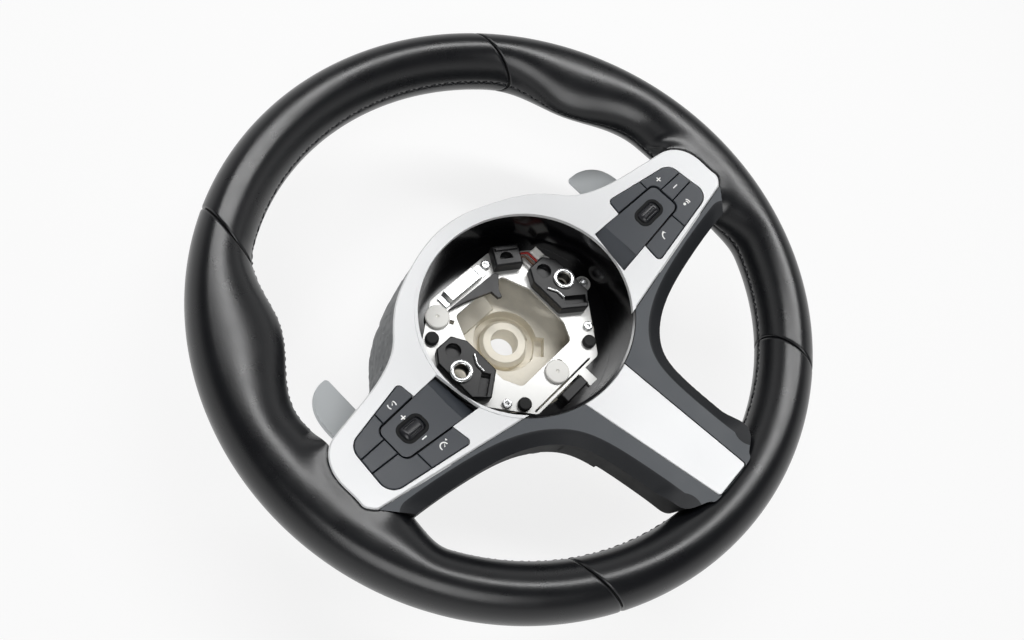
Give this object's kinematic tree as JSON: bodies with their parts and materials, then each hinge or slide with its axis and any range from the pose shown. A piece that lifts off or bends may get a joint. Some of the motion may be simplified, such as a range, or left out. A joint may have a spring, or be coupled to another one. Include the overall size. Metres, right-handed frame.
{
  "type": "car steering wheel",
  "caption": "Dished leather-wrapped car steering wheel with silver spokes, thumb switch pods, shift paddles and an open hub bay showing its cast centre and latches.",
  "frame": {"origin": "on the steering shaft bore's axis, in the hub's rear seat face", "axes": "+Z along the shaft towards the driver, +Y towards 12 o'clock, +X towards 3 o'clock"},
  "size_m": [0.37, 0.37, 0.1045],
  "materials": {
    "cast_alloy": "die-cast, bare",
    "foam": "moulded integral-skin foam",
    "leather": "smooth satin hide, sewn",
    "silver_trim": "satin silver paint",
    "soft_grey": "soft-touch paint",
    "black_plastic": "moulded, fine grain",
    "liner_plastic": "moulded, glossy",
    "key_grey": "satin paint",
    "paddle_plastic": "moulded, satin silver lacquer",
    "sheet_steel": "zinc-plated sheet",
    "bright_steel": "zinc-plated",
    "buffer_rubber": "moulded",
    "pad_plastic": "moulded",
    "white_plastic": "moulded",
    "red_lead": "extruded insulation",
    "brown_lead": "extruded insulation"
  },
  "bodies": {
    "wheel": {"armature": "cast_alloy", "rim_foam": "foam", "leather_top": "leather", "leather_bottom": "leather", "leather_right": "leather", "leather_left": "leather", "spoke_trim": "silver_trim", "lower_spoke_trim": "silver_trim", "lower_cover": "soft_grey", "rear_cover": "black_plastic", "rear_screws": "bright_steel", "hub_liner": "liner_plastic", "carrier_plate": "sheet_steel", "right_latch_block": "black_plastic", "left_latch_block": "black_plastic", "latch_springs": "bright_steel", "rubber_buffers": "buffer_rubber", "locating_pads": "pad_plastic", "plate_screws": "bright_steel", "strip_bracket": "bright_steel", "spring_lever": "black_plastic", "main_connector": "black_plastic", "small_connector": "white_plastic", "contact_block": "black_plastic", "red_wire": "red_lead", "brown_wire": "brown_lead", "right_switch_housing": "black_plastic", "right_centre_panel": "key_grey", "right_paddle_bracket": "black_plastic", "right_paddle_pin": "bright_steel", "left_switch_housing": "black_plastic", "left_centre_panel": "key_grey", "left_paddle_bracket": "black_plastic", "left_paddle_pin": "bright_steel"},
    "right_key_upper": {"right_key_upper": "key_grey"},
    "right_key_outer_upper": {"right_key_outer_upper": "key_grey"},
    "right_key_outer_middle": {"right_key_outer_middle": "key_grey"},
    "right_key_outer_lower": {"right_key_outer_lower": "key_grey"},
    "right_key_lower": {"right_key_lower": "key_grey"},
    "right_paddle": {"right_paddle": "paddle_plastic"},
    "left_key_upper": {"left_key_upper": "key_grey"},
    "left_key_outer_upper": {"left_key_outer_upper": "key_grey"},
    "left_key_outer_middle": {"left_key_outer_middle": "key_grey"},
    "left_key_outer_lower": {"left_key_outer_lower": "key_grey"},
    "left_key_lower": {"left_key_lower": "key_grey"},
    "left_paddle": {"left_paddle": "paddle_plastic"},
    "right_roller": {"right_roller": "key_grey"},
    "left_rocker": {"left_rocker": "key_grey"}
  },
  "joints": [
    {"name": "right_key_upper_press", "type": "slide", "parent": "wheel", "child": "right_key_upper", "axis": [0.2779, 0, -0.9606], "range_m": [0, 0.0008], "stiffness_N_per_m": 1500},
    {"name": "right_key_outer_upper_press", "type": "slide", "parent": "wheel", "child": "right_key_outer_upper", "axis": [0.2779, 0, -0.9606], "range_m": [0, 0.0008], "stiffness_N_per_m": 1500},
    {"name": "right_key_outer_middle_press", "type": "slide", "parent": "wheel", "child": "right_key_outer_middle", "axis": [0.2779, 0, -0.9606], "range_m": [0, 0.0008], "stiffness_N_per_m": 1500},
    {"name": "right_key_outer_lower_press", "type": "slide", "parent": "wheel", "child": "right_key_outer_lower", "axis": [0.2779, 0, -0.9606], "range_m": [0, 0.0008], "stiffness_N_per_m": 1500},
    {"name": "right_key_lower_press", "type": "slide", "parent": "wheel", "child": "right_key_lower", "axis": [0.2779, 0, -0.9606], "range_m": [0, 0.0008], "stiffness_N_per_m": 1500},
    {"name": "right_paddle_pull", "type": "hinge", "parent": "wheel", "child": "right_paddle", "pos_m": [0.092, 0.012, 0.045], "axis": [0, -1, 0], "range_deg": [0, 5], "stiffness_Nm_per_rad": 2},
    {"name": "left_key_upper_press", "type": "slide", "parent": "wheel", "child": "left_key_upper", "axis": [-0.2779, 0, -0.9606], "range_m": [0, 0.0008], "stiffness_N_per_m": 1500},
    {"name": "left_key_outer_upper_press", "type": "slide", "parent": "wheel", "child": "left_key_outer_upper", "axis": [-0.2779, 0, -0.9606], "range_m": [0, 0.0008], "stiffness_N_per_m": 1500},
    {"name": "left_key_outer_middle_press", "type": "slide", "parent": "wheel", "child": "left_key_outer_middle", "axis": [-0.2779, 0, -0.9606], "range_m": [0, 0.0008], "stiffness_N_per_m": 1500},
    {"name": "left_key_outer_lower_press", "type": "slide", "parent": "wheel", "child": "left_key_outer_lower", "axis": [-0.2779, 0, -0.9606], "range_m": [0, 0.0008], "stiffness_N_per_m": 1500},
    {"name": "left_key_lower_press", "type": "slide", "parent": "wheel", "child": "left_key_lower", "axis": [-0.2779, 0, -0.9606], "range_m": [0, 0.0008], "stiffness_N_per_m": 1500},
    {"name": "left_paddle_pull", "type": "hinge", "parent": "wheel", "child": "left_paddle", "pos_m": [-0.092, 0.012, 0.045], "axis": [0, 1, 0], "range_deg": [0, 5], "stiffness_Nm_per_rad": 2},
    {"name": "right_roller_turn", "type": "hinge", "parent": "wheel", "child": "right_roller", "pos_m": [0.10594, -0.01, 0.08314], "axis": [0.9606, 0, 0.2779], "continuous": true},
    {"name": "left_rocker_tilt", "type": "hinge", "parent": "wheel", "child": "left_rocker", "pos_m": [-0.10594, -0.01, 0.08314], "axis": [0.9606, 0, -0.2779], "range_deg": [-9, 9], "stiffness_Nm_per_rad": 0.15}
  ]
}
